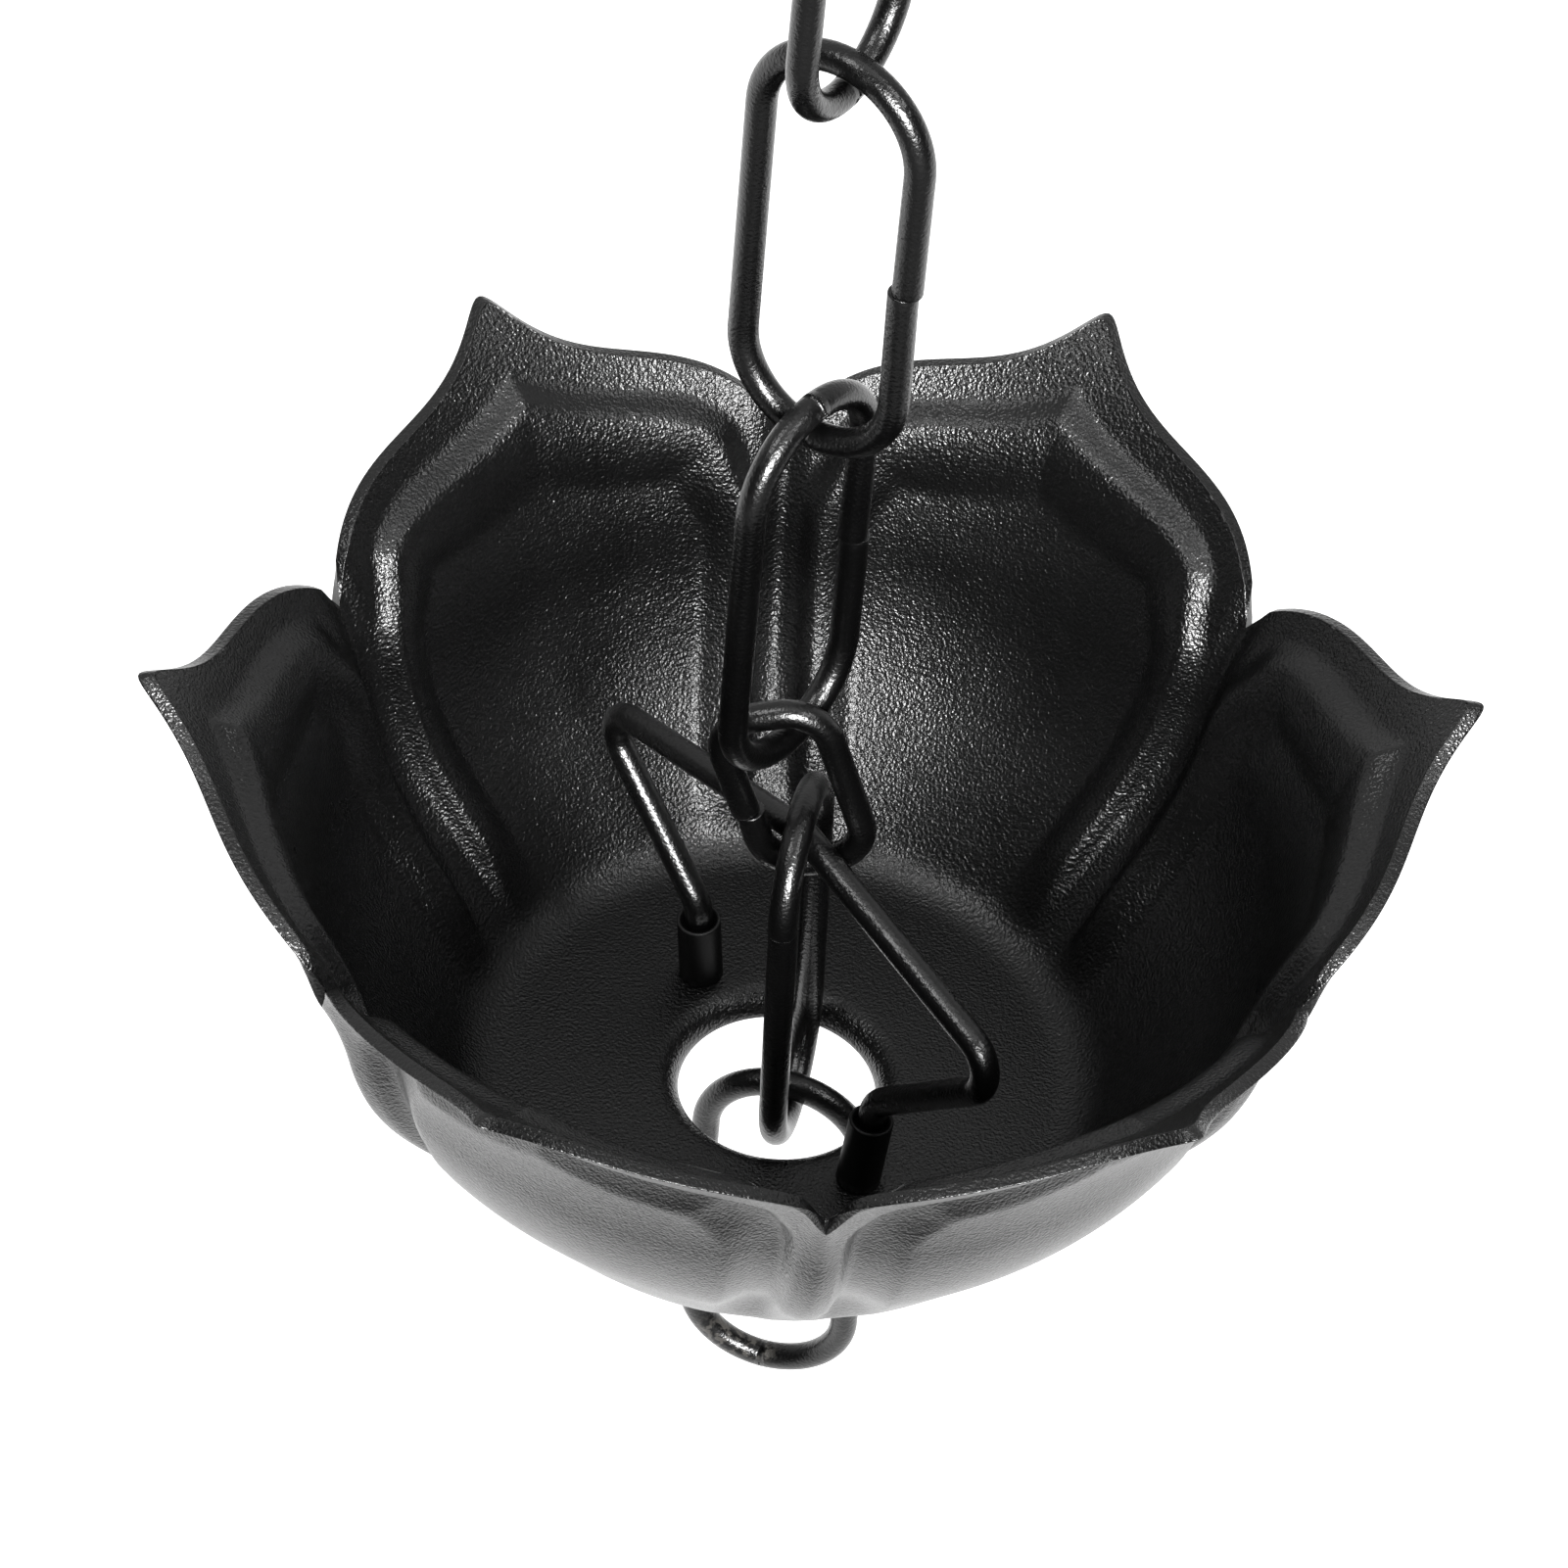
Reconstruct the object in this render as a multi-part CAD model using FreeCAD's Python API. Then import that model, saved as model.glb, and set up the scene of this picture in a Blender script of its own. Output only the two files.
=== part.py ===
import FreeCAD, Part
import math
import os

V = FreeCAD.Vector
UP = V(0, 0, 1)
ORIGIN = V(0, 0, 0)

# Driving dimensions, in millimetres and degrees

# Wire and links
WIRE = 2.8                   # wire of the links and of the bail
PLAY = 0.3                   # room left between two wires that hook into each other
LINK_LENGTH = 44.7           # long link, outside; its ends are half round
LINK_WIDTH = 19.2
SMALL_LENGTH = 22.3          # joining link, outside
SMALL_WIDTH = 13.1
SMALL_BEND = 4.2             # bend radius at the wire's middle
SMALL_PLAY = 0.72            # room at its ends, where the wires cross askew and meet on their flanks
SMALL_DROP = 0.26            # more of that room at its lower end, where the bail's arms slope
SMALL_LEAN = 19.0            # the joining link hangs askew
CUP_SHIFT = 2.6              # the cup hangs this far beside the upper links
DROP_LEAN = 1.8              # the drop link hangs a little aside
BUTT_GAP = 0.15              # hairline gap where the two ends of a link meet
BUTT_STEP = 0.55             # how far the two ends miss each other

# Turn of each link about the chain's axis; 180 more puts the butt joint on the other side
TOP_TURN = 52.0 + 180.0
UPPER_TURN = -37.5
LOWER_TURN = 49.0
JOINING_TURN = -6.0 + 180.0
DROP_TURN = 75.3 + 180.0
TAIL_TURN = -17.8
LOWER_FLIP = 180.0           # the lower link hangs upside down

# Cup: section of the pressed sheet
SHEET = 1.2
FLOOR_RADIUS = 27.1          # flat part of the floor
CORNER_RADIUS = 6.0          # between floor and wall, inside
LOWER_ANGLE = 36.0           # lower wall against the upright
BOWL_HEIGHT = 13.5           # where the lower wall starts to round in
BOWL_RADIUS = 38.0
WAIST_ANGLE = 12.0           # wall against the upright where the rounding turns into the flare
FLARE_RADIUS = 48.0
HOLE_RADIUS = 9.8            # drain hole
LIP_ROUND = 2.0              # rounding of the floor into the drain hole's lip
LIP_NECK = 0.6               # straight end of the lip

# Cup: outline of the petals, heights over the floor
PETALS = 6
SHOULDER_HEIGHT = 46.2
NOTCH_DEPTH = 6.2            # cleft between two petals, below the shoulder
SHOULDER_POWER = 4.5         # how square the shoulder is
CLEFT_CUT = 1.5              # sharp end of the cleft
CLEFT_CUT_SPREAD = 2.3       # angle over which that end opens
TIP_RISE = 7.7               # pointed tip over the shoulder
TIP_SPREAD = 5.5             # angle over which the tip sweeps down into the shoulder
TIP_BLUNT = 1.1              # angle over which the very tip is rounded

# Cup: bead pressed inwards along the edge of each petal
BORDER = 3.4                 # flat border between rim and bead
CLEFT_STRIP = 1.7            # flat strip between cleft and bead
BEAD_HEIGHT = 1.6
BEAD_RISE = 2.8              # from border to crest
BEAD_WIDTH = 8.6             # whole bead along the rim
CLEFT_BEAD = 0.68            # the bead's share of that width along a cleft
BEAD_TURN = 1.4              # rounding where the bead turns from rim to cleft
BEAD_END_LOW = 3.0           # the bead dies out between these two runs up the wall
BEAD_END_HIGH = 15.0
RIDGE_HEIGHT = 1.2           # ridge pressed outwards along each cleft
RIDGE_WIDTH = 1.8
RIDGE_END_LOW = 4.0          # the ridge grows between these two runs up the wall
RIDGE_END_HIGH = 30.0

# Bail and its sleeves
FOOT_RADIUS = 15.3           # feet of the bail from the cup's axis
FOOT_TURN = 118.5            # direction of the rear foot
FOOT_HEIGHT = 10.5           # first bend over the floor
FOOT_TWIST = 4.0             # the bail is twisted a little about the cup's axis
SHOULDER_REACH = 31.5        # shoulders of the bail from the cup's axis
BAIL_SHOULDER = 26.9         # height of the shoulders
BAIL_PEAK = 34.4             # height of the middle, where the two arms would meet
BAIL_TWIST = 8.5             # shoulders against feet
BAIL_BEND = 3.4              # bend radius at feet and shoulders
CROWN_BEND = 5.0             # bend radius at the middle
HEAD_RADIUS = 2.4            # headed ends under the floor
HEAD_HEIGHT = 0.8
FOOT_CLEARANCE = 0.1         # wire in its hole in the floor and in its sleeve
SLEEVE_WALL = 0.6
SLEEVE_HEIGHT = 8.2

# Fineness of the petal surfaces
LINES_ACROSS = 18            # lines from a petal's middle to its cleft
LINES_UP = 24                # lines from the floor to the rim
OUTLINE_POINTS = 80          # points of the rim that the bead's distance is measured to
RIM_GRADING = 1.7            # lines up the wall crowd towards the rim

# Values that follow from the driving dimensions
HOOK = WIRE + PLAY
LINK_REACH = LINK_LENGTH - WIRE
HALF_PETAL = 180.0 / PETALS
LOWER = math.radians(LOWER_ANGLE)
WAIST = math.radians(WAIST_ANGLE)


def polar(radius, angle, height):
    """Point at a distance from the axis, an angle in degrees and a height."""
    turn = math.radians(angle)
    return V(radius * math.cos(turn), radius * math.sin(turn), height)


def smooth(share):
    """Eased step from 0 to 1."""
    share = min(max(share, 0.0), 1.0)
    return share * share * (3 - 2 * share)


# Bent wire

def bent_wire(points, bends):
    """Round wire along straight runs, with one bend radius for each corner between them."""
    edges = []
    start = points[0]

    def run_straight(end):
        if (end - start).Length > WIRE / 100:
            edges.append(Part.LineSegment(start, end).toShape())

    for before, corner, after, bend in zip(points, points[1:], points[2:], bends):
        into = (corner - before).normalize()
        onward = (after - corner).normalize()
        half_turn = into.getAngle(onward) / 2
        reach = bend * math.tan(half_turn)
        inwards = (onward - into).normalize()
        bend_start = corner - into * reach
        bend_end = corner + onward * reach
        bend_middle = corner + inwards * (bend / math.cos(half_turn) - bend)
        run_straight(bend_start)
        edges.append(Part.Arc(bend_start, bend_middle, bend_end).toShape())
        start = bend_end
    run_straight(points[-1])
    section = Part.Circle(points[0], points[1] - points[0], WIRE / 2).toShape()
    return Part.Wire(edges).makePipe(Part.Face(Part.Wire(section)))


def link(length, width, bend):
    """Closed link in the XZ plane about the origin, its butt joint half way up the +X side."""
    side = (width - WIRE) / 2
    end = (length - WIRE) / 2
    points = [
        V(side, 0, BUTT_GAP / 2),
        V(side, 0, end),
        V(-side, 0, end),
        V(-side, 0, -end),
        V(side, 0, -end),
        V(side - BUTT_STEP, 0, -BUTT_GAP / 2),
    ]
    return bent_wire(points, [bend] * 4)


def hung_link(turn, top, flipped=0.0):
    """Long link with the middle of its upper bend at a place; flipped turns it upside down."""
    shape = link(LINK_LENGTH, LINK_WIDTH, (LINK_WIDTH - WIRE) / 2)
    shape.rotate(ORIGIN, V(1, 0, 0), flipped)
    shape.rotate(ORIGIN, UP, turn)
    shape.translate(top - UP * (LINK_REACH / 2))
    return shape


# Section of the cup's wall, by the run up the wall from the edge of the flat floor

CORNER_RUN = CORNER_RADIUS * (math.pi / 2 - LOWER)
CORNER_TOP = CORNER_RADIUS * (1 - math.sin(LOWER))
CORNER_OUT = FLOOR_RADIUS + CORNER_RADIUS * math.cos(LOWER)
LOWER_RUN = CORNER_RUN + (BOWL_HEIGHT - CORNER_TOP) / math.cos(LOWER)
LOWER_OUT = CORNER_OUT + (BOWL_HEIGHT - CORNER_TOP) * math.tan(LOWER)
WAIST_RUN = LOWER_RUN + BOWL_RADIUS * (LOWER - WAIST)
WAIST_OUT = LOWER_OUT + BOWL_RADIUS * (math.cos(WAIST) - math.cos(LOWER))
WAIST_HEIGHT = BOWL_HEIGHT + BOWL_RADIUS * (math.sin(LOWER) - math.sin(WAIST))


def run_to(height):
    """Run up the wall at a height on its flared part."""
    slope = math.asin(math.sin(WAIST) + (height - WAIST_HEIGHT) / FLARE_RADIUS)
    return WAIST_RUN + FLARE_RADIUS * (slope - WAIST)


def section(run):
    """Distance from the axis, height, and slope against the upright, inside the wall."""
    if run < CORNER_RUN:
        rise = run / CORNER_RADIUS
        radius = FLOOR_RADIUS + CORNER_RADIUS * math.sin(rise)
        return radius, CORNER_RADIUS * (1 - math.cos(rise)), math.pi / 2 - rise
    if run < LOWER_RUN:
        straight = run - CORNER_RUN
        return CORNER_OUT + straight * math.sin(LOWER), CORNER_TOP + straight * math.cos(LOWER), LOWER
    if run < WAIST_RUN:
        slope = LOWER - (run - LOWER_RUN) / BOWL_RADIUS
        radius = LOWER_OUT + BOWL_RADIUS * (math.cos(slope) - math.cos(LOWER))
        return radius, BOWL_HEIGHT + BOWL_RADIUS * (math.sin(LOWER) - math.sin(slope)), slope
    slope = WAIST + (run - WAIST_RUN) / FLARE_RADIUS
    radius = WAIST_OUT + FLARE_RADIUS * (math.cos(WAIST) - math.cos(slope))
    return radius, WAIST_HEIGHT + FLARE_RADIUS * (math.sin(slope) - math.sin(WAIST)), slope


# Outline and bead of one petal

def rim_height(angle):
    """Height of the rim at an angle from the petal's middle."""
    share = abs(angle) / HALF_PETAL
    blunted = math.hypot(angle, TIP_BLUNT) - TIP_BLUNT
    tip = TIP_RISE * math.exp(-blunted / TIP_SPREAD)
    cut = CLEFT_CUT * max(0.0, 1 - (HALF_PETAL - abs(angle)) / CLEFT_CUT_SPREAD)
    return SHOULDER_HEIGHT - NOTCH_DEPTH * share ** SHOULDER_POWER - cut + tip


def unrolled(angle, run):
    """Place on the unrolled petal: along the rim, and up the wall."""
    return math.radians(angle) * section(run)[0], run


def petal_outline():
    """Rim of the unrolled petal as a chain of points."""
    angles = [HALF_PETAL * (2 * k / OUTLINE_POINTS - 1) for k in range(OUTLINE_POINTS + 1)]
    return [unrolled(angle, run_to(rim_height(angle))) for angle in angles]


def bead(angle, run, outline):
    """How far the bead lifts the sheet inwards at a place on the petal."""
    across, up = unrolled(angle, run)
    from_rim = min(math.hypot(across - x, up - y) for x, y in outline) - BORDER
    from_cleft = math.radians(HALF_PETAL - abs(angle)) * section(run)[0] - CLEFT_STRIP
    near_rim = math.exp(-from_rim / BEAD_TURN)
    near_cleft = math.exp(-from_cleft / BEAD_TURN)
    inside = -BEAD_TURN * math.log(near_rim + near_cleft)
    width = (near_rim + CLEFT_BEAD * near_cleft) / (near_rim + near_cleft)
    rise = BEAD_RISE * width
    fall = (BEAD_WIDTH - BEAD_RISE) * width
    lift = smooth(inside / rise) * (1 - smooth((inside - rise) / fall))
    ending = smooth((run - BEAD_END_LOW) / (BEAD_END_HIGH - BEAD_END_LOW))
    return BEAD_HEIGHT * lift * ending


def ridge(angle, run):
    """How far the sheet stands out along the cleft."""
    from_cleft = math.radians(HALF_PETAL - abs(angle)) * section(run)[0]
    growing = smooth((run - RIDGE_END_LOW) / (RIDGE_END_HIGH - RIDGE_END_LOW))
    return RIDGE_HEIGHT * growing * math.exp(-(from_cleft / RIDGE_WIDTH) ** 2)


def petal_surfaces(middle, outline):
    """Inner and outer surface of the petal whose middle lies at an angle."""
    inner_rows = []
    outer_rows = []
    for i in range(-LINES_ACROSS, LINES_ACROSS + 1):
        share = i / LINES_ACROSS
        angle = HALF_PETAL * (share + math.copysign(1 - math.cos(math.pi * share), share) / 2) / 2
        rim = run_to(rim_height(angle))
        inner = []
        outer = []
        for j in range(LINES_UP + 1):
            run = rim * (1 - (1 - j / LINES_UP) ** RIM_GRADING)
            radius, height, slope = section(run)
            lift = bead(angle, run, outline) - ridge(angle, run) if 0 < j else 0.0
            for row, out in ((inner, -lift), (outer, SHEET - lift)):
                place = radius + out * math.cos(slope)
                row.append(polar(place, middle + angle, height - out * math.sin(slope)))
        inner_rows.append(inner)
        outer_rows.append(outer)
    inner_surface = Part.BSplineSurface()
    inner_surface.interpolate(inner_rows)
    outer_surface = Part.BSplineSurface()
    outer_surface.interpolate(outer_rows)
    return inner_surface, outer_surface


def edge_at_end(surface):
    """Edges of a petal surface along the floor and along the rim."""
    low, high = surface.bounds()[2:]
    return surface.vIso(low).toShape(), surface.vIso(high).toShape()


# The cup

def lip_faces():
    """Faces of the turned-down lip of the drain hole, from the floor's upper to its lower side."""
    start = HOLE_RADIUS + LIP_ROUND
    end = -LIP_ROUND - LIP_NECK
    under = LIP_ROUND - SHEET
    diagonal = math.sqrt(0.5)
    outer_bend = Part.Arc(
        V(start, 0, 0),
        V(start - LIP_ROUND * diagonal, 0, LIP_ROUND * (diagonal - 1)),
        V(HOLE_RADIUS, 0, -LIP_ROUND),
    )
    inner_bend = Part.Arc(
        V(HOLE_RADIUS + SHEET, 0, -LIP_ROUND),
        V(start - under * diagonal, 0, under * diagonal - LIP_ROUND),
        V(start, 0, -SHEET),
    )
    profile = [
        outer_bend.toShape(),
        Part.LineSegment(V(HOLE_RADIUS, 0, -LIP_ROUND), V(HOLE_RADIUS, 0, end)).toShape(),
        Part.LineSegment(V(HOLE_RADIUS, 0, end), V(HOLE_RADIUS + SHEET, 0, end)).toShape(),
        Part.LineSegment(V(HOLE_RADIUS + SHEET, 0, end), V(HOLE_RADIUS + SHEET, 0, -LIP_ROUND)).toShape(),
        inner_bend.toShape(),
    ]
    return [edge.revolve(ORIGIN, UP, 360) for edge in profile]


def floor_face(edges, height):
    """Flat floor between the petals' lower edges and the drain hole's lip."""
    ring = Part.Circle(V(0, 0, height), UP, HOLE_RADIUS + LIP_ROUND).toShape()
    face = Part.Face(Part.Wire(Part.__sortEdges__(edges)))
    return face.cut(Part.Face(Part.Wire(ring))).Faces[0]


def lotus_cup():
    """Pressed cup with its floor's upper side at height 0."""
    outline = petal_outline()
    faces = lip_faces()
    inner_floor = []
    outer_floor = []
    for k in range(PETALS):
        inner, outer = petal_surfaces(k * 2 * HALF_PETAL, outline)
        inner_low, inner_rim = edge_at_end(inner)
        outer_low, outer_rim = edge_at_end(outer)
        faces += [inner.toShape(), outer.toShape(), Part.makeRuledSurface(inner_rim, outer_rim)]
        inner_floor.append(inner_low)
        outer_floor.append(outer_low)
    faces.append(floor_face(inner_floor, 0))
    faces.append(floor_face(outer_floor, -SHEET))
    sheet = Part.makeCompound(faces)
    sheet.sewShape()
    cup = Part.Solid(Part.Shell(sheet.Faces))
    for foot, bend in bail_ends():
        along = (bend - foot).normalize()
        hole = Part.makeCylinder(WIRE / 2 + FOOT_CLEARANCE, 4 * SHEET, foot - along * 2 * SHEET, along)
        cup = cup.cut(hole)
    return cup.Solids[0]


# The bail and its sleeves, with the cup's floor at height 0

def bail_half():
    """Foot on the floor, first bend and shoulder of the rear half of the bail."""
    first = FOOT_TURN + FOOT_TWIST
    return [
        polar(FOOT_RADIUS, FOOT_TURN, 0),
        polar(FOOT_RADIUS, first, FOOT_HEIGHT),
        polar(SHOULDER_REACH, FOOT_TURN + BAIL_TWIST, BAIL_SHOULDER),
    ]


def opposite(point):
    return V(-point.x, -point.y, point.z)


def bail_ends():
    """Foot and first bend of both ends of the bail."""
    foot, bend, shoulder = bail_half()
    return [(foot, bend), (opposite(foot), opposite(bend))]


def bail_crown():
    """Height of the wire's middle at the top of the bail."""
    slope = math.atan((BAIL_PEAK - BAIL_SHOULDER) / SHOULDER_REACH)
    return BAIL_PEAK - CROWN_BEND * (1 / math.cos(slope) - 1)


def bail_wire():
    foot, bend, shoulder = bail_half()
    down = (foot - bend).normalize()
    end = foot + down * (SHEET / -down.z)
    rear = [end, bend, shoulder]
    front = [opposite(point) for point in reversed(rear)]
    bends = [BAIL_BEND, BAIL_BEND, CROWN_BEND, BAIL_BEND, BAIL_BEND]
    wire = bent_wire(rear + [V(0, 0, BAIL_PEAK)] + front, bends)
    for point in (end, opposite(end)):
        head = Part.makeCylinder(HEAD_RADIUS, HEAD_HEIGHT, V(point.x, point.y, -SHEET - HEAD_HEIGHT), UP)
        wire = wire.fuse(head)
    return wire.removeSplitter().Solids[0]


def sleeve(foot, bend):
    """Thin tube round one foot of the bail, cut level where it stands on the floor."""
    along = (bend - foot).normalize()
    bore = WIRE / 2 + FOOT_CLEARANCE
    outside = bore + SLEEVE_WALL
    start = foot - along * outside
    length = SLEEVE_HEIGHT + outside
    tube = Part.makeCylinder(outside, length, start, along)
    tube = tube.cut(Part.makeCylinder(bore, length, start, along))
    below = Part.makeBox(4 * outside, 4 * outside, 4 * outside)
    below.translate(V(foot.x - 2 * outside, foot.y - 2 * outside, -4 * outside))
    return tube.cut(below).Solids[0]


# Heights down the chain, from the inside of the top link's upper bend

top_link_top = WIRE / 2
upper_link_top = top_link_top - LINK_REACH + HOOK
lower_link_top = upper_link_top - LINK_REACH + HOOK
lower_link_bottom = lower_link_top - LINK_REACH
lean = math.radians(SMALL_LEAN)
joining_inside = SMALL_LENGTH / 2 - WIRE - (WIRE / 2 + SMALL_PLAY)
joining_half = (joining_inside - CUP_SHIFT / 2 * math.sin(lean)) / math.cos(lean)
joining_middle = V(CUP_SHIFT / 2, 0, lower_link_bottom - joining_half - SMALL_DROP)
bail_top = V(CUP_SHIFT, 0, lower_link_bottom - 2 * joining_half)
floor = bail_top - UP * bail_crown()
aside = polar(LINK_REACH * math.sin(math.radians(DROP_LEAN)), DROP_TURN + 90, 0)
drop_link_bottom = bail_top + aside + UP * (HOOK - LINK_REACH * math.cos(math.radians(DROP_LEAN)))

# The pieces

joining_link = link(SMALL_LENGTH, SMALL_WIDTH, SMALL_BEND)
joining_link.rotate(ORIGIN, V(0, 1, 0), SMALL_LEAN)
joining_link.rotate(ORIGIN, UP, JOINING_TURN)
joining_link.translate(joining_middle)

drop_link = hung_link(DROP_TURN, bail_top + UP * HOOK)
drop_link.rotate(bail_top + UP * HOOK, polar(1, DROP_TURN, 0), DROP_LEAN)

rear_end, front_end = bail_ends()
cup_pieces = {
    "lotus_cup": lotus_cup(),
    "bail_wire": bail_wire(),
    "bail_sleeve_rear": sleeve(*rear_end),
    "bail_sleeve_front": sleeve(*front_end),
}
for piece in cup_pieces.values():
    piece.translate(floor)

pieces = {
    "top_link": hung_link(TOP_TURN, UP * top_link_top),
    "upper_link": hung_link(UPPER_TURN, UP * upper_link_top),
    "lower_link": hung_link(LOWER_TURN, UP * lower_link_top, LOWER_FLIP),
    "joining_link": joining_link,
    "drop_link": drop_link,
    "tail_link": hung_link(TAIL_TURN, drop_link_bottom + UP * HOOK),
}
pieces.update(cup_pieces)

os.makedirs("parts", exist_ok=True)
for name, shape in pieces.items():
    shape.exportStep("parts/" + name + ".step")
    print(name, shape.ShapeType, shape.isValid(), round(shape.Volume, 2))
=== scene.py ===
import math

import bpy
import numpy as np
from mathutils import Matrix, Vector


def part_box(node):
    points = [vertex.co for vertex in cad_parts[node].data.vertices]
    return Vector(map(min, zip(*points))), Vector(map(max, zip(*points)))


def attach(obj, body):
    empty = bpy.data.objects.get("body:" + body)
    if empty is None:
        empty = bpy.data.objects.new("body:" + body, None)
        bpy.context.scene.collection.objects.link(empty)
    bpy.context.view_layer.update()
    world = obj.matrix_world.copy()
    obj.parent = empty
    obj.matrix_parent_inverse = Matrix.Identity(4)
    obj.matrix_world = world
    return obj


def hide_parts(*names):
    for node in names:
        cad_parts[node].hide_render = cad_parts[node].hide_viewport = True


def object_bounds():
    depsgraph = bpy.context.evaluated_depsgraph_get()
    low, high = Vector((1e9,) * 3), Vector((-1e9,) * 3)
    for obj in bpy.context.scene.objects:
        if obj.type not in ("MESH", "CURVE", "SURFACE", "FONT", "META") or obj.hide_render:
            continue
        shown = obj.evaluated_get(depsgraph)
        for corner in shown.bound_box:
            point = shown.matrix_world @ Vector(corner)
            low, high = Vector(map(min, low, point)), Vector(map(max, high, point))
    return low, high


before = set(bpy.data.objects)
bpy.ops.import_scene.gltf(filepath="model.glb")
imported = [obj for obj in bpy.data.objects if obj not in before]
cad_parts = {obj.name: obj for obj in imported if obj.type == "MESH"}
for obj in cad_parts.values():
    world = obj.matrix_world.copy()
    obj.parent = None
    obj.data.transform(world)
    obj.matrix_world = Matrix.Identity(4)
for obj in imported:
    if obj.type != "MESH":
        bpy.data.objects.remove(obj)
cad_low, cad_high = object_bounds()

# Sizes of the real pieces, in millimetres and degrees
MM = 0.001

# Chain links: butt heights are from the middle of a link, turns are about the chain
WIRE = 2.8
LINK_LENGTH, LINK_WIDTH = 44.7, 19.2
SMALL_LENGTH, SMALL_WIDTH, SMALL_BEND, SMALL_LEAN = 22.3, 13.1, 4.2, 19.0
DROP_LEAN = 1.8
BUTT_GAP, BUTT_STEP = 0.06, 0.42
BUTT_HEIGHTS = {"top": 0.0, "upper": 0.0, "lower": 0.0, "joining": -2.0, "drop": 12.3, "tail": 0.0}
LINK_TURNS = {"top": 237.0, "upper": -37.5, "lower": 49.0, "joining": 174.0, "drop": 255.3, "tail": -17.8}

# Bare patch inside the tail link's lower bend: whole within one distance, gone at the other
BARE_RISE, BARE_WHOLE, BARE_GONE, BARE_ASIDE = 0.8, 3.0, 5.0, -3.0

# Wall of the cup: slopes are from the upright, heights from the floor
SHEET = 1.2
FLOOR_RADIUS, CORNER_RADIUS = 27.1, 6.0
LOWER, WAIST = math.radians(36.0), math.radians(12.0)
BOWL_HEIGHT, BOWL_RADIUS, FLARE_RADIUS = 13.5, 38.0, 48.0
HOLE_RADIUS, LIP_ROUND, LIP_EDGE_ROUND = 9.8, 2.6, 0.25

# Outline of a petal: its cut edge is trimmed most of the way to level
PETALS = 6
HALF_PETAL = 180.0 / PETALS
SHOULDER_HEIGHT, NOTCH_DEPTH, SHOULDER_POWER = 46.8, 7.0, 4.5
CLEFT_CUT, CLEFT_CUT_SPREAD = 1.5, 2.3
TIP_RISE, TIP_SPREAD, TIP_BLUNT = 7.2, 5.5, 1.1
EDGE_LEVEL = 0.75

# Bead pressed inwards round each petal and ridge pressed outwards along each cleft
BORDER, CLEFT_STRIP = 3.4, 1.7
BEAD_HEIGHT, BEAD_RISE, BEAD_WIDTH, BEAD_TIP_RISE = 1.6, 3.2, 10.3, 4.4
CLEFT_BEAD, BEAD_TURN = 0.6, 1.4
BEAD_END_LOW, BEAD_END_HIGH = 3.0, 15.0
RIDGE_HEIGHT, RIDGE_WIDTH, RIDGE_END_LOW, RIDGE_END_HIGH = 1.2, 1.8, 4.0, 30.0

# Bail wire, its formed ends under the floor and its sleeves
FOOT_RADIUS, FOOT_TURN, FOOT_HEIGHT, FOOT_TWIST = 15.3, 118.5, 10.5, 4.0
SHOULDER_REACH, BAIL_SHOULDER, BAIL_PEAK, BAIL_TWIST = 31.5, 26.9, 34.4, 8.5
BAIL_BEND, CROWN_BEND = 3.4, 5.0
HEAD_RADIUS, HEAD_HEIGHT, HEAD_MIDDLE = 2.4, 0.8, 0.05
SLEEVE_BORE, SLEEVE_WALL, SLEEVE_HEIGHT = WIRE / 2 + 0.1, 0.68, 8.2
SLEEVE_EDGE, SLEEVE_LIFT, SLEEVE_FOOT = 0.12, 0.02, 1.0

# Fineness of the meshes
ROUND = 32
RUN_STEP = 1.0
BEND_STEP = math.radians(5)
END_ROUND, END_MIDDLE = 0.16, 0.01
ACROSS, UP, UP_POWER = 84, 68, 1.35
FLOOR_RINGS, LIP_RINGS, LIP_EDGE_RINGS, UNDER_RINGS, OUTLINE_POINTS = 10, 10, 8, 6, 241
EDGE_ROUNDING = ((0.99, 0.05), (0.95, 0.09), (0.85, 0.1), (0.15, 0.1), (0.05, 0.09), (0.01, 0.05))

# Colour of the unworn coat
BLACK = (0.0006, 0.0006, 0.00063, 1)

# Studio, in metres and watts: each softbox has its place from the cup's middle, its size and its power
SOFTBOXES = {
    "front softbox": ((0.06, -0.88, 0.47), (0.45, 0.3), 35),
    "left softbox": ((-0.47, -0.19, 0.86), (0.3, 0.3), 3.2),
    "right softbox": ((0.47, -0.3, 0.83), (0.3, 0.3), 2.5),
    "top softbox": ((0.0, -0.05, 0.9), (0.5, 0.5), 1.2),
}
CUP_MIDDLE = 0.03
FLOOR_HALF, FLOOR_DROP, FLOOR_GLOW = 3.0, 0.05, 1.55
FLOOR_FADE = (-0.16, -0.03, 0.01, 1.0)
WORLD_FADE = (-0.3, 0.5, 0.01, 0.65)

# Camera: what it looks at, from the cup's floor, and where it stands
CAMERA_AIM = (-2.21, -0.41, 41.19)
CAMERA_ELEVATION, CAMERA_AZIMUTH, CAMERA_ROLL, CAMERA_DISTANCE = 45.47, -5.89, 5.44, 570.4
FOCAL_PIXELS, IMAGE_PIXELS, SENSOR = 6210, 1601, 36.0

# Middle of the cup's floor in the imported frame
cup_low, cup_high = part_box("lotus_cup")
CUP = np.array([(cup_low.x + cup_high.x) / 2, 0.0, cup_low.z]) / MM + [0, 0, LIP_ROUND]


# Meshes

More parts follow.
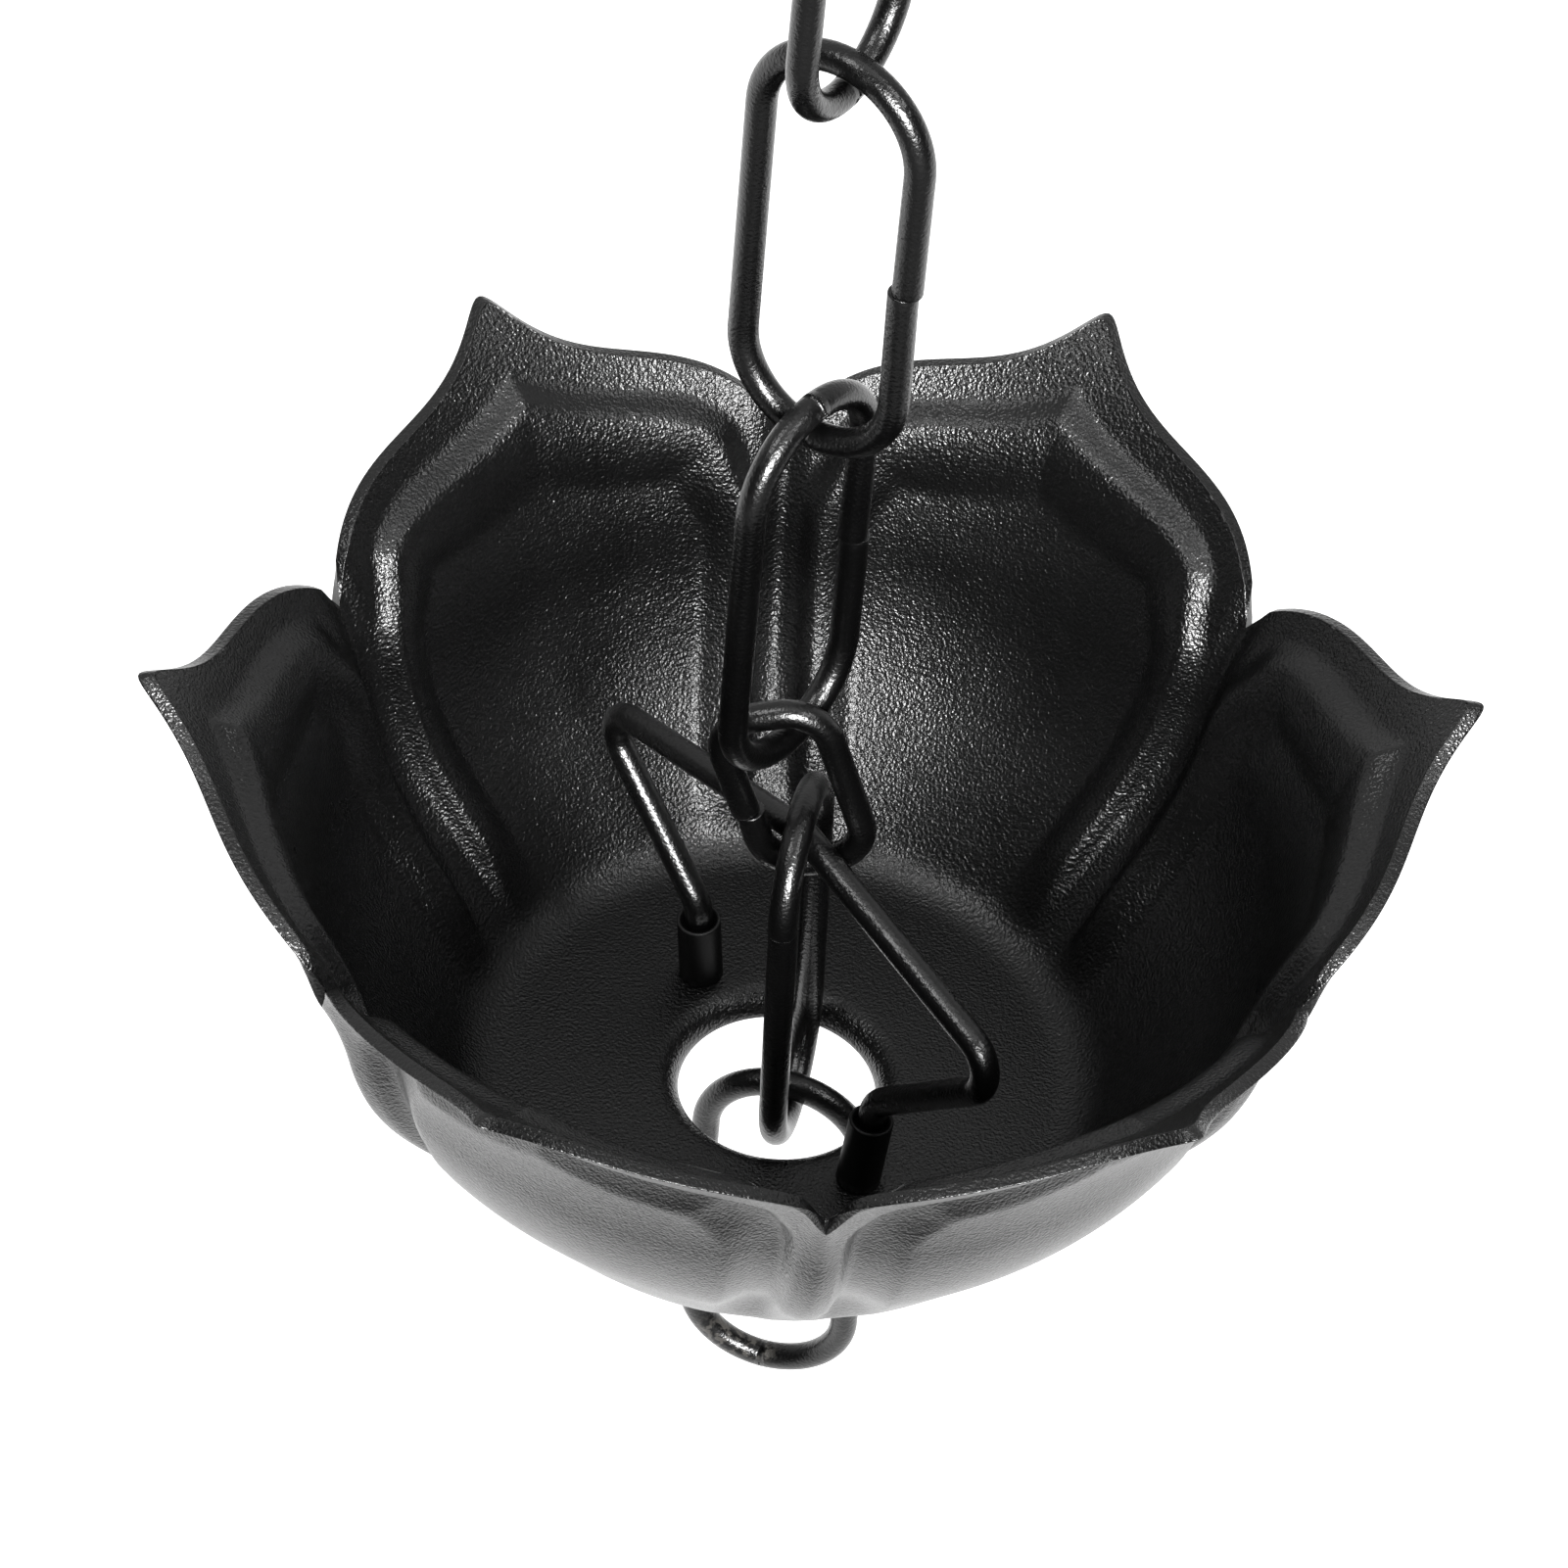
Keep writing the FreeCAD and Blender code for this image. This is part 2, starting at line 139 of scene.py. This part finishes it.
def new_piece(name, points, faces, body, node, material):
    """Smooth-shaded mesh, given in millimetres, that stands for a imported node."""
    mesh = bpy.data.meshes.new(name)
    mesh.from_pydata((np.asarray(points) * MM).tolist(), [], faces)
    mesh.polygons.foreach_set("use_smooth", [True] * len(mesh.polygons))
    mesh.materials.append(material)
    mesh.update()
    piece = bpy.data.objects.new(name, mesh)
    bpy.context.scene.collection.objects.link(piece)
    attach(piece, body)
    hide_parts(node)
    return piece


def mark_wear_and_highlight(piece, values):
    """Stores for each vertex how much lighter its coat is, for the material to read: rubbed coat on the cup and tail
    link, a painted highlight on the sleeves.
    """
    attribute = piece.data.attributes.new("wear_and_highlight", "FLOAT", "POINT")
    attribute.data.foreach_set("value", np.asarray(values, dtype=np.float32))


def ring_faces(rows, columns, closed):
    """Quads of a grid of rings; closed joins the last ring to the first."""
    faces = []
    for row in range(rows if closed else rows - 1):
        above = (row + 1) % rows
        for column in range(columns):
            beside = (column + 1) % columns
            faces.append((row * columns + column, row * columns + beside,
                          above * columns + beside, above * columns + column))
    return faces


def smooth(share):
    """Eased step from 0 to 1."""
    share = np.clip(share, 0.0, 1.0)
    return share * share * (3 - 2 * share)


def polar(radius, angle, height):
    turn = np.radians(angle)
    return np.array([radius * np.cos(turn), radius * np.sin(turn), height])


def rotated(points, angle, axis):
    turn = np.array(Matrix.Rotation(math.radians(angle), 3, Vector(axis)))
    return np.asarray(points) @ turn.T


# Bent wire

def straight(start, end):
    """Points from the start of a straight run up to its end; none for a run of no length."""
    length = np.linalg.norm(end - start)
    if length < WIRE / 100:
        return []
    steps = max(1, math.ceil(length / RUN_STEP))
    return [start + (end - start) * k / steps for k in range(steps)]


def bent_path(corners, bends):
    """Points along straight runs joined by bends, one bend radius for each inner corner."""
    corners = [np.array(corner, dtype=float) for corner in corners]
    points = []
    start = corners[0]
    for before, corner, after, bend in zip(corners, corners[1:], corners[2:], bends):
        into = (corner - before) / np.linalg.norm(corner - before)
        onward = (after - corner) / np.linalg.norm(after - corner)
        turn = math.acos(float(np.clip(into @ onward, -1, 1)))
        reach = bend * math.tan(turn / 2)
        bend_start = corner - into * reach
        points += straight(start, bend_start)
        sideways = onward - into * (into @ onward)
        sideways /= np.linalg.norm(sideways)
        steps = max(2, math.ceil(turn / BEND_STEP))
        for k in range(steps):
            angle = turn * k / steps
            points.append(bend_start + into * bend * math.sin(angle) + sideways * bend * (1 - math.cos(angle)))
        start = corner + onward * reach
    return points + straight(start, corners[-1]) + [corners[-1]]


def tube(path, radius):
    """Round tube along a path with eased ends: points and faces."""
    path = np.array(path)
    along = np.gradient(path, axis=0)
    along /= np.linalg.norm(along, axis=1)[:, None]
    side = np.cross(along[0], [0.0, 0.0, 1.0])
    if np.linalg.norm(side) < 0.1:
        side = np.cross(along[0], [0.0, 1.0, 0.0])
    rings = []
    turns = np.arange(ROUND) * 2 * math.pi / ROUND
    for k, point in enumerate(path):
        side = side - along[k] * (side @ along[k])
        side /= np.linalg.norm(side)
        other = np.cross(along[k], side)
        circle = np.cos(turns)[:, None] * side + np.sin(turns)[:, None] * other
        if k in (0, len(path) - 1):
            outwards = along[k] * (-1 if k == 0 else 1)
            eased = [point - outwards * END_ROUND + circle * radius]
            for angle in (math.pi / 6, math.pi / 3, math.pi / 2):
                inset = END_ROUND * (1 - math.cos(angle))
                rise = END_ROUND * (1 - math.sin(angle))
                eased.append(point - outwards * rise + circle * (radius - inset))
            eased.append(point + circle * radius * END_MIDDLE)
            rings += eased[::-1] if k == 0 else eased
        else:
            rings.append(point + circle * radius)
    return np.concatenate(rings), ring_faces(len(rings), ROUND, False)


def link_path(length, width, bend, butt):
    """Link in the XZ plane with its butt joint at a height on the +X side."""
    side = (width - WIRE) / 2
    end = (length - WIRE) / 2
    corners = [(side, 0, butt + BUTT_GAP / 2), (side, 0, end), (-side, 0, end), (-side, 0, -end), (side, 0, -end),
               (side - BUTT_STEP, 0, butt - BUTT_GAP / 2)]
    return np.array(bent_path(corners, [bend] * 4))


def bare_patch(points, middle, bottom, turn):
    """How bare the wire is inside the lower bend of a link, beside its middle."""
    above = points[:, 2] - bottom - WIRE / 2
    aside = np.abs((points - middle) @ polar(1, turn, 0) - BARE_ASIDE)
    fade = BARE_GONE - BARE_WHOLE
    return smooth(above / BARE_RISE) * smooth((BARE_GONE - above) / fade) * smooth((BARE_GONE - aside) / fade)


def make_link(body, material):
    """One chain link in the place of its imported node."""
    node = body + "_link"
    low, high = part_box(node)
    turn = LINK_TURNS[body]
    butt = BUTT_HEIGHTS[body]
    if body == "joining":
        path = rotated(link_path(SMALL_LENGTH, SMALL_WIDTH, SMALL_BEND, butt), SMALL_LEAN, (0, 1, 0))
    else:
        path = link_path(LINK_LENGTH, LINK_WIDTH, (LINK_WIDTH - WIRE) / 2, butt)
    if body == "lower":
        path = rotated(path, 180, (1, 0, 0))
    path = rotated(path, turn, (0, 0, 1))
    if body == "drop":
        path = rotated(path, DROP_LEAN, polar(1, turn, 0))
    middle = np.array((low + high) / 2) / MM
    points, faces = tube(path + middle, WIRE / 2)
    piece = new_piece(node + "_coated", points, faces, body, node, material)
    if body == "tail":
        mark_wear_and_highlight(piece, bare_patch(points, middle, low.z / MM, turn))


# The cup

CORNER_RUN = CORNER_RADIUS * (math.pi / 2 - LOWER)
CORNER_TOP = CORNER_RADIUS * (1 - math.sin(LOWER))
LOWER_RUN = CORNER_RUN + (BOWL_HEIGHT - CORNER_TOP) / math.cos(LOWER)
WAIST_RUN = LOWER_RUN + BOWL_RADIUS * (LOWER - WAIST)
WAIST_HEIGHT = BOWL_HEIGHT + BOWL_RADIUS * (math.sin(LOWER) - math.sin(WAIST))


def run_to(height):
    """Run up the wall at a height on its flared part."""
    slope = np.arcsin(math.sin(WAIST) + (height - WAIST_HEIGHT) / FLARE_RADIUS)
    return WAIST_RUN + FLARE_RADIUS * (slope - WAIST)


def section(run):
    """Distance from the axis, height and slope of the wall's inside at a run up the wall."""
    rise = np.minimum(run, CORNER_RUN) / CORNER_RADIUS
    lower = np.clip(run, CORNER_RUN, LOWER_RUN) - CORNER_RUN
    bowl = LOWER - (np.clip(run, LOWER_RUN, WAIST_RUN) - LOWER_RUN) / BOWL_RADIUS
    flare = WAIST + np.maximum(run - WAIST_RUN, 0) / FLARE_RADIUS
    radius = FLOOR_RADIUS + CORNER_RADIUS * np.sin(rise) + lower * math.sin(LOWER)
    radius = radius + BOWL_RADIUS * (np.cos(bowl) - math.cos(LOWER))
    radius = radius + FLARE_RADIUS * (math.cos(WAIST) - np.cos(flare))
    height = CORNER_RADIUS * (1 - np.cos(rise)) + lower * math.cos(LOWER)
    height = height + BOWL_RADIUS * (math.sin(LOWER) - np.sin(bowl))
    height = height + FLARE_RADIUS * (np.sin(flare) - math.sin(WAIST))
    slope = np.where(run < CORNER_RUN, math.pi / 2 - rise, np.where(run < WAIST_RUN, bowl, flare))
    return radius, height, slope


def rim_height(angle, tip_rise):
    """Height of a petal's outline at an angle from its middle."""
    blunted = np.hypot(angle, TIP_BLUNT) - TIP_BLUNT
    shoulder = SHOULDER_HEIGHT - NOTCH_DEPTH * (np.abs(angle) / HALF_PETAL) ** SHOULDER_POWER
    cut = CLEFT_CUT * np.maximum(0.0, 1 - (HALF_PETAL - np.abs(angle)) / CLEFT_CUT_SPREAD)
    return shoulder - cut + tip_rise * np.exp(-blunted / TIP_SPREAD)


def bead(angle, run):
    """How far the bead lifts the sheet inwards."""
    outline_angle = np.linspace(-HALF_PETAL, HALF_PETAL, OUTLINE_POINTS)
    outline_run = run_to(rim_height(outline_angle, BEAD_TIP_RISE))
    outline_across = np.radians(outline_angle) * section(outline_run)[0]
    across = np.radians(angle) * section(run)[0]
    from_rim = np.full(run.shape, np.inf)
    for x, y in zip(outline_across, outline_run):
        from_rim = np.minimum(from_rim, np.hypot(across - x, run - y))
    from_rim = np.where(run > run_to(rim_height(angle, BEAD_TIP_RISE)), -from_rim, from_rim) - BORDER
    from_cleft = np.radians(HALF_PETAL - np.abs(angle)) * section(run)[0] - CLEFT_STRIP
    near_rim = np.exp(-from_rim / BEAD_TURN)
    near_cleft = np.exp(-from_cleft / BEAD_TURN)
    inside = -BEAD_TURN * np.log(near_rim + near_cleft)
    width = (near_rim + CLEFT_BEAD * near_cleft) / (near_rim + near_cleft)
    rise = BEAD_RISE * width
    fall = np.clip((inside - rise) / ((BEAD_WIDTH - BEAD_RISE) * width), 0.0, 1.0)
    lift = smooth(inside / rise) * np.cos(math.pi / 2 * fall)
    return BEAD_HEIGHT * lift * smooth((run - BEAD_END_LOW) / (BEAD_END_HIGH - BEAD_END_LOW))


def ridge(angle, run):
    """How far the sheet stands out along the cleft."""
    from_cleft = np.radians(HALF_PETAL - np.abs(angle)) * section(run)[0]
    growing = smooth((run - RIDGE_END_LOW) / (RIDGE_END_HIGH - RIDGE_END_LOW))
    return RIDGE_HEIGHT * growing * np.exp(-(from_cleft / RIDGE_WIDTH) ** 2)


def floor_profile():
    """Radius and height of the rings from the cup's floor through the drain hole to its underside."""
    start = HOLE_RADIUS + LIP_ROUND
    under = LIP_ROUND - SHEET
    rings = []
    for k in range(1, FLOOR_RINGS):
        rings.append((FLOOR_RADIUS + (start - FLOOR_RADIUS) * k / FLOOR_RINGS, 0.0))
    for k in range(LIP_RINGS + 1):
        turn = math.pi / 2 * k / LIP_RINGS
        rings.append((start - LIP_ROUND * math.sin(turn), LIP_ROUND * (math.cos(turn) - 1)))
    for k in range(1, LIP_EDGE_RINGS + 1):
        turn = math.pi * k / LIP_EDGE_RINGS
        rings.append((HOLE_RADIUS + SHEET / 2 * (1 - math.cos(turn)), -LIP_ROUND - LIP_EDGE_ROUND * math.sin(turn)))
    for k in range(UNDER_RINGS + 1):
        turn = math.pi / 2 * (1 - k / UNDER_RINGS)
        rings.append((start - under * math.sin(turn), -LIP_ROUND + under * math.cos(turn)))
    for k in range(1, FLOOR_RINGS):
        rings.append((start + (FLOOR_RADIUS - start) * k / FLOOR_RINGS, -SHEET))
    return rings


def cup_grid():
    """Rings of the cup from the inner rim down, through the drain hole and up the outside to the rim."""
    share = np.linspace(-1, 1, ACROSS, endpoint=False)
    angle = HALF_PETAL * (share + np.sign(share) * (1 - np.cos(np.pi * share)) / 2) / 2
    rim = run_to(rim_height(angle, TIP_RISE))
    rim_radius, rim_top, rim_slope = section(rim)
    trim = EDGE_LEVEL * SHEET * np.tan(rim_slope)
    fraction = 1 - np.linspace(0, 1, UP + 1) ** UP_POWER
    run = fraction[:, None] * (rim - trim)[None, :]
    angles = np.broadcast_to(angle, run.shape)
    lift = bead(angles, run) - ridge(angles, run)
    radius, height, slope = section(run)

    def wall_ring(j, out):
        return radius[j] + out * np.cos(slope[j]), height[j] - out * np.sin(slope[j])

    rows = [wall_ring(j, -lift[j]) for j in range(UP + 1)]
    rows += [(np.full(ACROSS, r), np.full(ACROSS, z)) for r, z in floor_profile()]
    rows += [wall_ring(j, SHEET - lift[j]) for j in range(UP, 0, -1)]
    rows.append((rim_radius + SHEET * np.cos(rim_slope), rim_top - SHEET * np.sin(rim_slope)))
    inner, outer = rows[0], rows[-1]
    for share, rise in EDGE_ROUNDING:
        rows.append((inner[0] + (outer[0] - inner[0]) * share, inner[1] + (outer[1] - inner[1]) * share + rise))
    rings = []
    for r, z in rows:
        for_petals = [polar(r, angle + 2 * HALF_PETAL * petal, z).T for petal in range(PETALS)]
        rings.append(np.concatenate(for_petals))
    return np.array(rings)


def make_cup(material):
    """Pressed cup, its coat rubbed along the inner edge of its rim."""
    rings = cup_grid()
    rows, columns = rings.shape[:2]
    piece = new_piece("lotus_cup_pressed", rings.reshape(-1, 3) + CUP, ring_faces(rows, columns, True), "cup",
                      "lotus_cup", material)
    wear_and_highlight = np.zeros(rows)
    wear_and_highlight[0] = 1.0
    mark_wear_and_highlight(piece, np.repeat(wear_and_highlight, columns))


# The bail

def bail_corners():
    """Corners of the bail from its rear end over the crown to its front end."""
    first = FOOT_TURN + FOOT_TWIST
    foot = polar(FOOT_RADIUS, FOOT_TURN, 0)
    bend = polar(FOOT_RADIUS, first, FOOT_HEIGHT)
    shoulder = polar(SHOULDER_REACH, FOOT_TURN + BAIL_TWIST, BAIL_SHOULDER)
    end = foot + (foot - bend) / FOOT_HEIGHT * (SHEET + HEAD_HEIGHT / 2)
    rear = [end, bend, shoulder]
    flip = np.array([-1, -1, 1])
    return rear + [np.array([0, 0, BAIL_PEAK])] + [corner * flip for corner in rear[::-1]]


def wire_head(end):
    """Rings of the formed head on one end of the bail, under the cup's floor."""
    turns = np.arange(ROUND) * 360.0 / ROUND
    profile = ((HEAD_MIDDLE, 0.0), (HEAD_RADIUS, 0.0), (HEAD_RADIUS, HEAD_HEIGHT / 2),
               (HEAD_RADIUS * 0.85, HEAD_HEIGHT * 0.85), (HEAD_RADIUS * 0.6, HEAD_HEIGHT), (HEAD_MIDDLE, HEAD_HEIGHT))
    return [polar(r, turns, np.full(ROUND, -SHEET - drop)).T + [end[0], end[1], 0] + CUP for r, drop in profile]


def make_bail(material):
    corners = bail_corners()
    path = np.array(bent_path(corners, [BAIL_BEND, BAIL_BEND, CROWN_BEND, BAIL_BEND, BAIL_BEND]))
    points, faces = tube(path + CUP, WIRE / 2)
    for end in (corners[0], corners[-1]):
        rings = wire_head(end)
        base = len(points)
        points = np.concatenate([points] + rings)
        faces = faces + [tuple(base + i for i in face) for face in ring_faces(len(rings), ROUND, False)]
    new_piece("bail_wire_coated", points, faces, "cup", "bail_wire", material)


def make_sleeve(node, corners, material):
    """Thin tube on one foot of the bail, with a painted highlight round its top edge."""
    foot, bend = corners
    along = (bend - foot) / np.linalg.norm(bend - foot)
    foot = foot - along * (foot[2] / along[2])
    outside = SLEEVE_BORE + SLEEVE_WALL
    top, edge = SLEEVE_HEIGHT, SLEEVE_EDGE
    # Each row: radius, height and how strongly a painted highlight lightens the sleeve's top edge, standing in for
    # the light it catches.
    radius_height_highlight = [
        (outside, SLEEVE_LIFT, 0), (outside, SLEEVE_FOOT, 0), (outside, top / 2, 0), (outside, top - 2 * edge, 0),
        (outside, top - edge, 0.3), (outside - edge, top, 1.0), (outside - 2 * edge, top, 0.6),
        (outside - 3 * edge, top - edge, 0), (WIRE / 2, top - 3 * edge, 0), (WIRE / 2, SLEEVE_LIFT, 0)]
    side = np.cross(along, [0.0, 0.0, 1.0])
    side /= np.linalg.norm(side)
    other = np.cross(along, side)
    turns = np.arange(ROUND) * 2 * math.pi / ROUND
    circle = np.cos(turns)[:, None] * side + np.sin(turns)[:, None] * other
    points = np.concatenate([foot + along * height + circle * radius for radius, height, wear_and_highlight in radius_height_highlight])
    points[:, 2] = np.maximum(points[:, 2], SLEEVE_LIFT)
    piece = new_piece(node + "_tube", points + CUP, ring_faces(len(radius_height_highlight), ROUND, True), "cup", node,
                      material)
    mark_wear_and_highlight(piece, np.repeat([wear_and_highlight for radius, height, wear_and_highlight in radius_height_highlight], ROUND))


# Materials

def math_node(nodes, links, operation, first, second):
    """Math node on two values; each is a number or a socket."""
    node = nodes.new("ShaderNodeMath")
    node.operation = operation
    for socket, value in zip(node.inputs, (first, second)):
        if isinstance(value, (int, float)):
            socket.default_value = value
        else:
            links.new(value, socket)
    return node.outputs[0]


def noise_node(nodes, links, place, scale, detail):
    """Noise over a piece; the scale is a number or a socket."""
    node = nodes.new("ShaderNodeTexNoise")
    node.inputs["Detail"].default_value = detail
    node.inputs["Roughness"].default_value = 0.55
    links.new(place, node.inputs["Vector"])
    if isinstance(scale, (int, float)):
        node.inputs["Scale"].default_value = scale
    else:
        links.new(scale, node.inputs["Scale"])
    return node.outputs["Fac"]


def new_group(name, inputs, outputs):
    """Shader group with number sockets: inputs with defaults, and outputs."""
    group = bpy.data.node_groups.new(name, "ShaderNodeTree")
    for socket_name, value in inputs.items():
        socket = group.interface.new_socket(socket_name, in_out="INPUT", socket_type="NodeSocketFloat")
        socket.default_value = value
    for socket_name in outputs:
        group.interface.new_socket(socket_name, in_out="OUTPUT", socket_type="NodeSocketFloat")
    inside = group.nodes.new("NodeGroupInput").outputs
    outside = group.nodes.new("NodeGroupOutput").inputs
    return group, inside, outside


def grain_group():
    """Sandy grain of a powder coat: height for the bump, and an uneven gloss."""
    defaults = {"Grain Size": 0.5 * MM, "Base Roughness": 0.4, "Gloss Spread": 0.12, "Mottle Size": 9 * MM}
    group, inside, outside = new_group("powder grain", defaults, ("Height", "Roughness"))
    nodes, links = group.nodes, group.links
    place = nodes.new("ShaderNodeTexCoord").outputs["Object"]
    grains = math_node(nodes, links, "DIVIDE", 1.0, inside["Grain Size"])
    height = noise_node(nodes, links, place, grains, 1.0)
    mottles = math_node(nodes, links, "DIVIDE", 1.0, inside["Mottle Size"])
    mottle = noise_node(nodes, links, place, mottles, 3.0)
    spread = math_node(nodes, links, "MULTIPLY", mottle, inside["Gloss Spread"])
    roughness = math_node(nodes, links, "ADD", inside["Base Roughness"], spread)
    links.new(height, outside["Height"])
    links.new(roughness, outside["Roughness"])
    return group


def patchy_wear_and_highlight_group():
    """Where a marked edge has lost its colour, and where a sleeve's top edge has a painted highlight: patchy, along
    the mark only.
    """
    defaults = {"Mark": 0.0, "Patch Size": 0.8 * MM, "Cover": 0.5, "Sharpness": 9.0}
    group, inside, outside = new_group("patchy wear and painted highlight", defaults, ("Wear And Highlight",))
    nodes, links = group.nodes, group.links
    place = nodes.new("ShaderNodeTexCoord").outputs["Object"]
    patches = math_node(nodes, links, "DIVIDE", 1.0, inside["Patch Size"])
    patch = noise_node(nodes, links, place, patches, 2.0)
    over = math_node(nodes, links, "SUBTRACT", patch, inside["Cover"])
    sharp = math_node(nodes, links, "MULTIPLY", over, inside["Sharpness"])
    wear_and_highlight = nodes.new("ShaderNodeClamp")
    links.new(sharp, wear_and_highlight.inputs["Value"])
    links.new(math_node(nodes, links, "MULTIPLY", wear_and_highlight.outputs[0], inside["Mark"]), outside["Wear And Highlight"])
    return group


def coated_metal(name, grain, patchy_wear_and_highlight, grain_size, grain_height, roughness, shine, wear_and_highlight_colour, cover):
    """Black coat with sandy grain, lighter where the piece is marked: rubbed coat on the cup and wires, a painted
    highlight on the sleeves.
    """
    material = bpy.data.materials.new(name)
    material.use_nodes = True
    nodes, links = material.node_tree.nodes, material.node_tree.links
    shader = nodes["Principled BSDF"]
    shader.inputs["Specular IOR Level"].default_value = shine
    coat = nodes.new("ShaderNodeGroup")
    coat.node_tree = grain
    coat.inputs["Grain Size"].default_value = grain_size * MM
    coat.inputs["Base Roughness"].default_value = roughness
    bump = nodes.new("ShaderNodeBump")
    bump.inputs["Distance"].default_value = grain_height * MM
    links.new(coat.outputs["Height"], bump.inputs["Height"])
    links.new(coat.outputs["Roughness"], shader.inputs["Roughness"])
    links.new(bump.outputs["Normal"], shader.inputs["Normal"])
    # The marked colour is rubbed coat on the cup and wires, and a painted highlight on the sleeves' top edges.
    marked = nodes.new("ShaderNodeAttribute")
    marked.attribute_name = "wear_and_highlight"
    patches = nodes.new("ShaderNodeGroup")
    patches.node_tree = patchy_wear_and_highlight
    patches.inputs["Cover"].default_value = cover
    links.new(marked.outputs["Fac"], patches.inputs["Mark"])
    tint = nodes.new("ShaderNodeMix")
    tint.data_type = "RGBA"
    tint.inputs["A"].default_value = BLACK
    tint.inputs["B"].default_value = wear_and_highlight_colour
    links.new(patches.outputs["Wear And Highlight"], tint.inputs["Factor"])
    links.new(tint.outputs["Result"], shader.inputs["Base Color"])
    return material


# Studio

def front_fade(nodes, links, place, limits):
    """Brightness from dark at the front to pale at the back, and pale all over to the camera."""
    split = nodes.new("ShaderNodeSeparateXYZ")
    links.new(place, split.inputs[0])
    fade = nodes.new("ShaderNodeMapRange")
    fade.interpolation_type = "SMOOTHSTEP"
    for name, value in zip(("From Min", "From Max", "To Min", "To Max"), limits):
        fade.inputs[name].default_value = value
    links.new(split.outputs["Y"], fade.inputs["Value"])
    seen = nodes.new("ShaderNodeLightPath").outputs["Is Camera Ray"]
    return math_node(nodes, links, "MAXIMUM", fade.outputs["Result"], seen)


def make_floor():
    """Pale floor a little below the chain."""
    mesh = bpy.data.meshes.new("studio_floor")
    half, level = FLOOR_HALF, cad_low.z - FLOOR_DROP
    mesh.from_pydata([(-half, -half, level), (half, -half, level), (half, half, level), (-half, half, level)], [],
                     [(0, 1, 2, 3)])
    floor = bpy.data.objects.new("studio_floor", mesh)
    bpy.context.scene.collection.objects.link(floor)
    material = bpy.data.materials.new("pale floor")
    material.use_nodes = True
    nodes, links = material.node_tree.nodes, material.node_tree.links
    shader = nodes["Principled BSDF"]
    shader.inputs["Base Color"].default_value = (0.1, 0.1, 0.1, 1)
    shader.inputs["Roughness"].default_value = 0.9
    shader.inputs["Specular IOR Level"].default_value = 0.0
    shader.inputs["Emission Strength"].default_value = FLOOR_GLOW
    place = nodes.new("ShaderNodeTexCoord").outputs["Object"]
    links.new(front_fade(nodes, links, place, FLOOR_FADE), shader.inputs["Emission Color"])
    mesh.materials.append(material)


def light_world():
    """White surroundings behind and dark ones in front."""
    world = bpy.data.worlds.new("studio")
    bpy.context.scene.world = world
    world.use_nodes = True
    nodes, links = world.node_tree.nodes, world.node_tree.links
    background = nodes["Background"]
    background.inputs["Color"].default_value = (1, 1, 1, 1)
    place = nodes.new("ShaderNodeTexCoord").outputs["Generated"]
    links.new(front_fade(nodes, links, place, WORLD_FADE), background.inputs["Strength"])


def hang_softboxes():
    middle = Vector(CUP * MM) + Vector((0, 0, CUP_MIDDLE))
    for name, (offset, size, power) in SOFTBOXES.items():
        data = bpy.data.lights.new(name, "AREA")
        data.shape = "RECTANGLE"
        data.size, data.size_y = size
        data.energy = power
        lamp = bpy.data.objects.new(name, data)
        bpy.context.scene.collection.objects.link(lamp)
        lamp.location = middle + Vector(offset)
        lamp.rotation_mode = "QUATERNION"
        lamp.rotation_quaternion = (middle - lamp.location).to_track_quat("-Z", "Y")


def place_camera():
    """Camera at the photograph's place: direction, roll, distance and lens."""
    elevation, azimuth, roll = (math.radians(angle) for angle in (CAMERA_ELEVATION, CAMERA_AZIMUTH, CAMERA_ROLL))
    target = Vector((CUP + CAMERA_AIM) * MM)
    back = Vector((math.sin(azimuth) * math.cos(elevation), -math.cos(azimuth) * math.cos(elevation),
                   math.sin(elevation)))
    level = Vector((math.cos(azimuth), math.sin(azimuth), 0))
    over = back.cross(level)
    right = level * math.cos(roll) + over * math.sin(roll)
    up = over * math.cos(roll) - level * math.sin(roll)
    camera = bpy.data.objects.new("camera", bpy.data.cameras.new("camera"))
    bpy.context.scene.collection.objects.link(camera)
    camera.data.sensor_width = SENSOR
    camera.data.lens = SENSOR * FOCAL_PIXELS / IMAGE_PIXELS
    camera.data.clip_start = 0.01
    spot = target + back * (CAMERA_DISTANCE * MM)
    camera.matrix_world = Matrix(((right.x, up.x, back.x, spot.x), (right.y, up.y, back.y, spot.y),
                                  (right.z, up.z, back.z, spot.z), (0, 0, 0, 1)))
    bpy.context.scene.camera = camera


grain = grain_group()
patchy_wear_and_highlight = patchy_wear_and_highlight_group()
cup_coat = coated_metal("black powder coat", grain, patchy_wear_and_highlight, grain_size=0.33, grain_height=0.13, roughness=0.24,
                        shine=0.5, wear_and_highlight_colour=(0.06, 0.06, 0.06, 1), cover=0.58)
wire_coat = coated_metal("black wire coat", grain, patchy_wear_and_highlight, grain_size=0.33, grain_height=0.055, roughness=0.22,
                         shine=0.5, wear_and_highlight_colour=(0.035, 0.033, 0.03, 1), cover=0.45)
# The sleeves' lighter marked colour is a painted highlight round their top edges.
sleeve_black = coated_metal("black sleeve", grain, patchy_wear_and_highlight, grain_size=0.3, grain_height=0.01, roughness=0.4,
                            shine=0.14, wear_and_highlight_colour=(0.012, 0.012, 0.012, 1), cover=0.2)

make_cup(cup_coat)
for body in LINK_TURNS:
    make_link(body, wire_coat)
make_bail(wire_coat)
make_sleeve("bail_sleeve_rear", bail_corners()[:2], sleeve_black)
make_sleeve("bail_sleeve_front", bail_corners()[:-3:-1], sleeve_black)

make_floor()
light_world()
hang_softboxes()
place_camera()
bpy.context.scene.view_settings.view_transform = "Standard"
